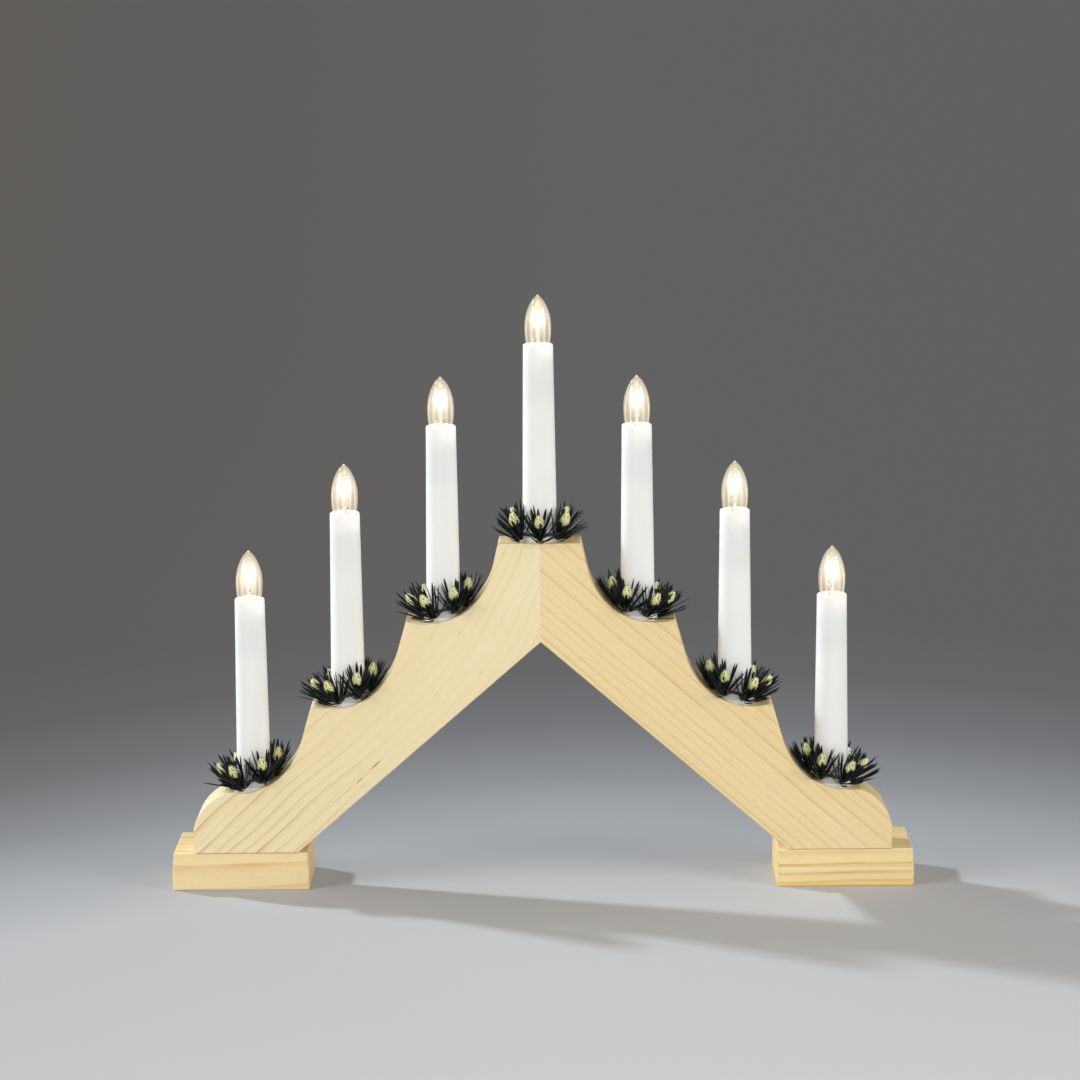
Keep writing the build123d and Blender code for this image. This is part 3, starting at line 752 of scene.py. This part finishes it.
for number in CANDLES:
    for form, name, finish, slot, node in BULB_PIECES:
        piece = form.build(f"{name}_{number}")
        piece.location = seat(number, TUBE_HEIGHT) * MM
        dress(piece, finish, f"bulb_{number}", f"{node}_{number}")
        if slot == "bulb_glass":
            piece.visible_shadow = False
            piece.visible_diffuse = False

# Wreaths: directions in a tuft's frame, which leans outwards
LEAN = radians(TUFT_LEAN)
UP = Vector((sin(LEAN), 0, cos(LEAN)))
OUT = Vector((cos(LEAN), 0, -sin(LEAN)))
SIDE = Vector((0, 1, 0))

# Limits of the sprigs: reach from the candle's axis, front, and clearances from tube, collar and wood
WREATH_REACH = 27.2
FRONT_LIMIT = -28.6
COLLAR_CLEAR, COLLAR_MARGIN = 10.9, 0.4
TUBE_CLEAR, TUBE_TAPER = 9.45, 1.25
WOOD_CLEAR = 0.45

# Blades: steps, where the bend ends, the width at the foot, and the pointed end
BLADE_STEPS = 8
BLADE_BEND_END = 0.3
NEARLY_PARALLEL = 0.99
BLADE_FOOT_WIDTH, BLADE_SWELL = 0.75, 4
BLADE_POINT_START, BLADE_POINT_SHARE = 0.7, 0.85
BLADE_DEPTH, BLADE_BACK = 0.5, 0.2

# Sprigs: blades wanted and tried, turn from one to the next, and the foot's rise and reach
BLADES, BLADE_TRIES = 30, 900
TURN_SHARE, TURN_PLAY = 0.382, 0.06
PATIENCE, PATIENCE_START, FREE_TURN = 3, 9, 0.5
SPRIG_FOOT, SPRIG_RISE, SPRIG_REACH = -3.8, 6.4, 1.5

# Sprigs: each blade's angles from the stem at its foot and tip, its length and its width
OPENING, OPENING_LOSS, OPENING_PLAY = 78, 50, (-6, 6)
CLOSING, CLOSING_LOSS, CLOSING_PLAY = 44, 34, (-7, 9)
BLADE_LENGTH, BLADE_LENGTH_LOSS, BLADE_LENGTH_PLAY = 16.4, 2.4, (0.84, 1.04)
BLADE_WIDTHS, BLADE_TWIST = (1.25, 1.65), (-28, 28)
FACING_LIMIT, FACING_LENGTH = 0.45, 0.5
STEM_HEIGHTS = (-3.8, -3.2, -1.8, -0.4, 1.2, 2.4, 3.4, 4.2)
STEM_RADII = (0.7, 1.3, 1.6, 1.7, 1.65, 1.5, 1.3, 0.9)
SPRIG_STEM_SIDES = 12

# Buds: height of the foot on the stem, size, core, and levels of scales
BUD_FOOT = 3.7
BUD_LENGTH, BUD_BELLY = 8.4, 2.25
CORE_INSET, CORE_TIP, CORE_ROWS, CORE_SIDES = 0.15, 0.03, 12, 14
CORE_RUN, CORE_START, CORE_SKEW, CORE_FULLNESS = 0.93, 0.07, 0.8, 0.72
SCALE_LEVELS, FULL_LEVELS, FULL_COUNT, TOP_COUNT = 9, 6, 7, 5
SCALES_FOOT, SCALES_RUN, SCALE_TURN = 0.04, 0.86, 2.4
SCALE_LENGTH, SCALE_LENGTH_LOSS, SCALE_WIDTH = 2.8, 0.45, 2.0
# Painted light by level: the shade of the lowest scales, and how much lighter the top ones are
SCALE_SHADE, TOP_SHADE = 0.7, 0.3
HIGHEST, NARROWEST = 0.99, 0.5
SCALE_EDGE, SCALE_RIDGE, SCALE_DROP = 0.97, 0.3, 0.1

# Rows of a scale: share of its length, half width, lift and shade; the low shade at the foot is painted
# shade between the scales
SCALE_ROWS = ((0, 0.35, -0.12, 0.0), (0.35, 0.5, 0.14, 0.3), (0.7, 0.36, 0.3, 0.85), (1.0, 0.03, 0.5, 1.0))

# Ring: steps round it and round its wire, and the winding of the tape
RING_STEPS, WIRE_STEPS = 120, 12
TAPE_TURNS, TAPE_RELIEF = 40, 0.03


def wreath_place(number):
    """Place of a wreath, which leans on the wall of its cove or lies flat on the top."""
    if number == MIDDLE:
        turn = Matrix.Rotation(radians(TOP_TURN), 4, "Z")
        return Matrix.Translation(seat(number, COLLAR_HEIGHT + TOP_LIFT)) @ turn
    tilt = COVE_TILT if number > MIDDLE else -COVE_TILT
    turn = Matrix.Rotation(radians(tilt), 4, "Y")
    return Matrix.Translation(seat(number, COLLAR_HEIGHT + COVE_LIFT)) @ turn


def blade(foot, start, finish, length, width, twist):
    """A flat pointed blade that leaves its foot in one direction and bends to another."""
    path, point = [foot], foot.copy()
    for i in range(BLADE_STEPS):
        bend = min(1.0, (i + 0.5) / BLADE_STEPS / BLADE_BEND_END)
        point = point + (start * (1 - bend) + finish * bend).normalized() * (length / BLADE_STEPS)
        path.append(point.copy())
    rows = []
    for i, point in enumerate(path):
        t = i / BLADE_STEPS
        along = (path[min(i + 1, BLADE_STEPS)] - path[max(i - 1, 0)]).normalized()
        flat = along.cross(start if abs(along.dot(UP)) > NEARLY_PARALLEL else UP).normalized()
        flat = Matrix.Rotation(twist, 3, along) @ flat
        thick = along.cross(flat)
        swell = BLADE_FOOT_WIDTH + (1 - BLADE_FOOT_WIDTH) * min(1.0, t * BLADE_SWELL)
        near_tip = max(0.0, (t - BLADE_POINT_START) / (1 - BLADE_POINT_START))
        wide = width * swell * (1 - BLADE_POINT_SHARE * near_tip ** 2)
        deep = wide * BLADE_DEPTH
        edge, front, back = flat * wide / 2, thick * deep / 2, thick * deep * BLADE_BACK
        rows.append([point + edge, point + front, point - edge, point - back])
    return path, rows


def bud_core(t):
    """Radius of a bud's core, at a share of its length."""
    place = min(1.0, t * CORE_RUN + CORE_START) ** CORE_SKEW
    return BUD_BELLY * sin(pi * place) ** CORE_FULLNESS


def make_bud():
    """A bud of overlapping scales round a pointed core, along Z from its foot."""
    form = Form()
    heights = [i / CORE_ROWS for i in range(CORE_ROWS + 1)]
    core = [(max(bud_core(t) - CORE_INSET, CORE_TIP), t * BUD_LENGTH) for t in heights]
    form.lathe(core, CORE_SIDES, ends=True)
    for level in range(SCALE_LEVELS):
        t = SCALES_FOOT + SCALES_RUN * level / SCALE_LEVELS
        count = FULL_COUNT if level < FULL_LEVELS else TOP_COUNT
        size = SCALE_LENGTH * (1 - SCALE_LENGTH_LOSS * level / SCALE_LEVELS)
        # Painted light: each level of scales is lighter than the one below
        bright = SCALE_SHADE + TOP_SHADE * level / SCALE_LEVELS
        for k in range(count):
            angle = 2 * pi * (k / count) + level * SCALE_TURN
            rows = []
            for up, half, lift, _ in SCALE_ROWS:
                r = bud_core(min(t + up * size / BUD_LENGTH, HIGHEST)) + lift
                z = t * BUD_LENGTH + up * size
                spread = half * SCALE_WIDTH / max(bud_core(t), NARROWEST)
                edge, ridge = r * SCALE_EDGE, r + lift * SCALE_RIDGE
                rows.append([
                    (edge * cos(angle - spread), edge * sin(angle - spread), z - SCALE_DROP * up),
                    (ridge * cos(angle), ridge * sin(angle), z),
                    (edge * cos(angle + spread), edge * sin(angle + spread), z - SCALE_DROP * up),
                ])
            form.skin(rows, [shade * bright for *_, shade in SCALE_ROWS], loop=False)
    return form


def make_ring():
    """Wire ring with a winding of tape."""
    form = Form()
    rows = []
    for i in range(RING_STEPS):
        angle = 2 * pi * i / RING_STEPS
        row = []
        for j in range(WIRE_STEPS):
            t = 2 * pi * j / WIRE_STEPS
            r = RING_WIRE * (1 - TAPE_RELIEF + TAPE_RELIEF * cos(TAPE_TURNS * angle + t))
            out = RING_RADIUS + r * cos(t)
            row.append((out * cos(angle), out * sin(angle), r * sin(t)))
        rows.append(row)
    form.skin(rows + rows[:1])
    return form


def solid_tree(*names):
    """A search tree of CAD nodes, in millimetres."""
    points, faces = [], []
    for name in names:
        mesh = nodes[name].data
        first = len(points)
        points += [v.co / MM for v in mesh.vertices]
        faces += [tuple(i + first for i in p.vertices) for p in mesh.polygons]
    return BVHTree.FromPolygons(points, faces)


arms_tree = solid_tree("left_arm", "right_arm")


def is_free(point, number):
    """Whether a point of a blade is inside the limits, and clear of the wood and of its candle."""
    away = point - seat(number)
    beside_collar = away.z < COLLAR_HEIGHT + COLLAR_MARGIN
    needed = COLLAR_CLEAR if beside_collar else TUBE_CLEAR - TUBE_TAPER * clamp(away.z / TUBE_HEIGHT)
    if not needed < sqrt(away.x**2 + away.y**2) < WREATH_REACH or point.y < FRONT_LIMIT:
        return False
    near, normal, _, distance = arms_tree.find_nearest(point)
    return distance > WOOD_CLEAR and (point - near).dot(normal) > 0


def sprig(number, place, chance):
    """Blades and stem of one sprig, moved to its place on the ring."""
    form = Form()
    made = tries = 0
    while made < BLADES and tries < BLADE_TRIES:
        tries += 1
        level = made / BLADES
        play = chance.uniform(-TURN_PLAY, TURN_PLAY)
        stuck = tries > PATIENCE * made + PATIENCE_START
        turn = 2 * pi * (made * TURN_SHARE + play + (FREE_TURN * chance.random() if stuck else 0))
        side = OUT * cos(turn) + SIDE * sin(turn)
        opening = radians(OPENING - OPENING_LOSS * level + chance.uniform(*OPENING_PLAY))
        closing = radians(CLOSING - CLOSING_LOSS * level + chance.uniform(*CLOSING_PLAY))
        facing = -(place.to_3x3() @ side).y
        start = UP * cos(opening) + side * sin(opening)
        finish = UP * cos(closing) + side * sin(closing)
        foot = UP * (SPRIG_FOOT + SPRIG_RISE * level) + side * SPRIG_REACH
        length = (BLADE_LENGTH - BLADE_LENGTH_LOSS * level) * chance.uniform(*BLADE_LENGTH_PLAY)
        if facing > FACING_LIMIT:
            length *= FACING_LENGTH
        width = chance.uniform(*BLADE_WIDTHS)
        path, rows = blade(foot, start, finish, length, width, radians(chance.uniform(*BLADE_TWIST)))
        if all(is_free(place @ p, number) for p in path[1:]):
            tint = chance.random()
            form.skin(rows, [tint] * len(rows), ends=True)
            made += 1
    form.tube([UP * z for z in STEM_HEIGHTS], STEM_RADII, SPRIG_STEM_SIDES)
    return form.moved(place)


bud_form = make_bud()
ring_form = make_ring()

for number in CANDLES:
    chance = random.Random(number)
    place = wreath_place(number)
    tufts, buds = Form(), Form()
    for i in range(TUFTS):
        spoke = place @ Matrix.Rotation(2 * pi * i / TUFTS, 4, "Z") @ Matrix.Translation((RING_RADIUS, 0, 0))
        tufts.join(sprig(number, spoke, chance))
        stand = spoke @ Matrix.Rotation(LEAN, 4, "Y") @ Matrix.Translation((0, 0, BUD_FOOT))
        turn = Matrix.Rotation(chance.uniform(0, 2 * pi), 4, "Z")
        buds.join(bud_form.moved(stand @ turn))
    body = f"wreath_{number}"
    dress(tufts.build(f"sprigs_{number}"), needle_plastic, body, f"wreath_tufts_{number}")
    dress(buds.build(f"buds_{number}"), bud_plastic, body, f"wreath_buds_{number}")
    ring = ring_form.moved(place)
    dress(ring.build(f"ring_{number}"), wreath_wire, body, f"wreath_ring_{number}")

# The floor and the backdrop: shift and bend of the painted shade on the stage, in metres
SHADE_SHIFT, SHADE_BEND_X = 0.3, 0.05
ACROSS_SCALE, ACROSS_MIDDLE = 0.5, 0.5
# Painted shade on the floor: darker towards the back
FLOOR_SHADES = (
    (0.0, tone(184, 184, 184)), (0.3, tone(176, 176, 177)),
    (0.5, tone(144, 145, 147)), (0.9, tone(88, 89, 91)),
)
# Painted light across the floor: darker on the left, lighter on the right
FLOOR_PAINTED_LIGHT = ((0.25, (0.86, 0.86, 0.87, 1.0)), (0.5, 1.03), (0.75, 1.14))
# Painted light on the far floor and the wall, which glow: darker towards the back
WALL_SHADES = (
    (0.2, tone(196, 197, 199)), (0.4, tone(166, 168, 171)), (0.52, tone(134, 135, 136)),
    (0.65, tone(113, 113, 114)), (0.8, tone(99, 98, 97)), (1.0, tone(95, 93, 91)),
)
# Painted light across the far floor and the wall: lighter and bluer in the middle and to the right
WALL_PAINTED_LIGHT = ((0.1, (0.98, 0.96, 0.94, 1.0)), (0.5, (1.08, 1.11, 1.16, 1.0)), (1.0, (1.06, 1.1, 1.15, 1.0)))
WALL_SHARE = ((0.3, 0.0), (0.62, 1.0))

# The stage's shape, in millimetres
STAGE_HALF_WIDTH, STAGE_TOP = 5000, 3600
STAGE_FRONT, FLOOR_START, FLOOR_STEP, FLOOR_ROWS = -4000, -3000, 250, 20
RISE_START, RISE_RADIUS, RISE_STEP = 1900, 800, 10


def stage_material():
    """Pale floor that darkens to an even grey wall, by place: painted shade on the floor, and painted light
    on the wall.

    The wall's grey is painted light, plain to the camera, to glass and to gloss.
    """
    made, shader = material("stage", {"Roughness": 0.9, "Specular IOR Level": 0.1})
    tree = made.node_tree
    place = add(tree, "SeparateXYZ", {0: place_on(tree)}).outputs
    from_middle = calc(tree, "ABSOLUTE", calc(tree, "SUBTRACT", place[0], SHADE_BEND_X))
    back = calc(tree, "ADD", calc(tree, "POWER", from_middle, 2.0), place[1])
    back = calc(tree, "ADD", back, SHADE_SHIFT)
    across = calc(tree, "MULTIPLY_ADD", place[0], ACROSS_SCALE, ACROSS_MIDDLE)
    floor_colour = tinted(tree, ramp(tree, back, *FLOOR_SHADES), across, *FLOOR_PAINTED_LIGHT)
    tree.links.new(floor_colour, shader.inputs["Base Color"])
    wall_colour = tinted(tree, ramp(tree, back, *WALL_SHADES), across, *WALL_PAINTED_LIGHT)
    # The glow of the far floor and the wall is painted light
    wall = add(tree, "Emission", {"Color": wall_colour, "Strength": 1.0})
    path = add(tree, "LightPath").outputs
    seen = calc(tree, "MAXIMUM", path["Is Glossy Ray"], path["Is Transmission Ray"])
    seen = calc(tree, "MAXIMUM", path["Is Camera Ray"], seen)
    share = calc(tree, "MULTIPLY", ramp(tree, back, *WALL_SHARE), seen)
    both = add(tree, "MixShader", {0: share, 1: shader.outputs[0], 2: wall.outputs[0]})
    tree.links.new(both.outputs[0], tree.nodes["Material Output"].inputs["Surface"])
    return made


def make_stage():
    """Floor, with a rounded rise to a wall far behind."""
    form = Form()
    profile = [(STAGE_FRONT, 0)] + [(FLOOR_START + FLOOR_STEP * i, 0) for i in range(FLOOR_ROWS)]
    for angle in range(0, 91, RISE_STEP):
        turn = radians(angle)
        profile.append((RISE_START + RISE_RADIUS * sin(turn), RISE_RADIUS - RISE_RADIUS * cos(turn)))
    profile.append((RISE_START + RISE_RADIUS, STAGE_TOP))
    widths = (-STAGE_HALF_WIDTH, 0, STAGE_HALF_WIDTH)
    form.skin([[(x, y, z) for x in widths] for y, z in profile], loop=False)
    return form.build("floor")


floor = make_stage()
floor.data.materials.append(stage_material())

# Camera: sensor and lens in millimetres, place in metres, and turns in degrees
SENSOR, LENS = 36.0, 111.7
CAMERA_PLACE = (0.0159, -1.71533, 0.503)
YAW, TILT_DOWN, ROLL = -0.53, 10.55, -0.57

camera_data = bpy.data.cameras.new("camera")
camera_data.sensor_width = SENSOR
camera_data.lens = LENS
camera = bpy.data.objects.new("camera", camera_data)
bpy.context.scene.collection.objects.link(camera)
bpy.context.scene.camera = camera
yaw, pitch, roll = radians(YAW), radians(TILT_DOWN), radians(ROLL)
ahead = Vector((sin(yaw) * cos(pitch), cos(yaw) * cos(pitch), -sin(pitch)))
level_right = Vector((cos(yaw), -sin(yaw), 0))
level_up = level_right.cross(ahead)
right = level_right * cos(roll) + level_up * sin(roll)
upward = level_up * cos(roll) - level_right * sin(roll)
camera_axes = Matrix((right, upward, -ahead)).transposed().to_4x4()
camera.matrix_world = Matrix.Translation(CAMERA_PLACE) @ camera_axes

# Lights: name, place, height aimed at, size, power and colour
WARM = (1.0, 0.985, 0.955)
LAMPS = (
    ("key", (-2.07, 1.1, 1.7), 0.05, 0.16, 66.0, (0.84, 0.92, 1.0)),
    ("fill_left", (-2.0, -0.9, 1.1), 0.15, 1.2, 31.0, WARM),
    ("fill_right", (1.88, -1.2, 1.0), 0.15, 1.2, 30.2, WARM),
    ("fill_front", (0.1, -2.6, 1.3), 0.15, 1.6, 17.5, WARM),
)

for name, place, aim, size, power, colour in LAMPS:
    data = bpy.data.lights.new(name, "AREA")
    data.size, data.energy, data.color = size, power, colour
    light = bpy.data.objects.new(name, data)
    bpy.context.scene.collection.objects.link(light)
    light.location = place
    light.rotation_euler = (Vector((0, 0, aim)) - Vector(place)).to_track_quat("-Z", "Y").to_euler()

world = bpy.data.worlds.new("world")
world.use_nodes = True
background = world.node_tree.nodes["Background"]
background.inputs["Color"].default_value = (1.0, 0.985, 0.96, 1.0)
background.inputs["Strength"].default_value = 0.31
bpy.context.scene.world = world
bpy.context.scene.view_settings.view_transform = "Standard"
